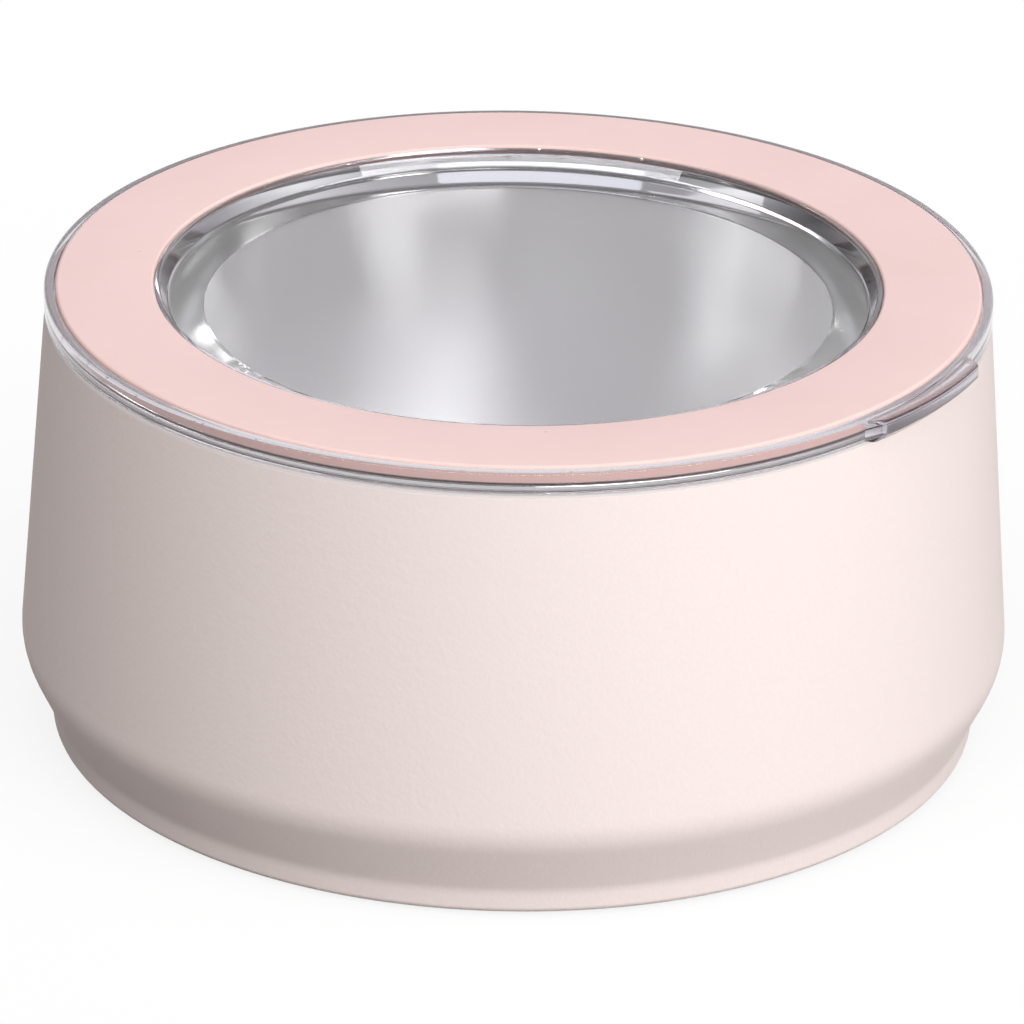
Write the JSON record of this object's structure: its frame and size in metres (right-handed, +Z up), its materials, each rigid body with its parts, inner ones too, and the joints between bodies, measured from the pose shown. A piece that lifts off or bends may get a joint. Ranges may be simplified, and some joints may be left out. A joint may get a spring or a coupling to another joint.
{
  "type": "insulated pet bowl",
  "caption": "Round double-walled pet bowl in powder-coated steel with a stainless inside, a non-slip base and a clear lift-off lid with a soft trim ring and a scooped finger tab.",
  "frame": {"origin": "on the floor, under the bowl's axis", "axes": "+Z up along the bowl's axis, -Y towards the viewer, +X to the viewer's right; the lid's tab points to +X and -Y"},
  "size_m": [0.201, 0.201, 0.0952],
  "materials": {
    "powder_coat": "pale pink powder coat, matt, fine grain",
    "bowl_steel": "satin inside, polished bevel and rim",
    "base_steel": "brushed",
    "ring_silicone": "matt silicone",
    "clear_plastic": "clear, polished",
    "trim_silicone": "soft-touch, matt",
    "gasket_silicone": "translucent silicone"
  },
  "bodies": {
    "bowl": {"outer_shell": "powder_coat", "inner_bowl": "bowl_steel", "base_plate": "base_steel", "non_slip_ring": "ring_silicone"},
    "lid": {"lid_shell": "clear_plastic", "lid_trim_ring": "trim_silicone", "lid_gasket": "gasket_silicone"}
  },
  "joints": [
    {"name": "lid_lift", "type": "slide", "parent": "bowl", "child": "lid", "axis": [0, 0, 1], "range_m": [0, 0.12]}
  ]
}
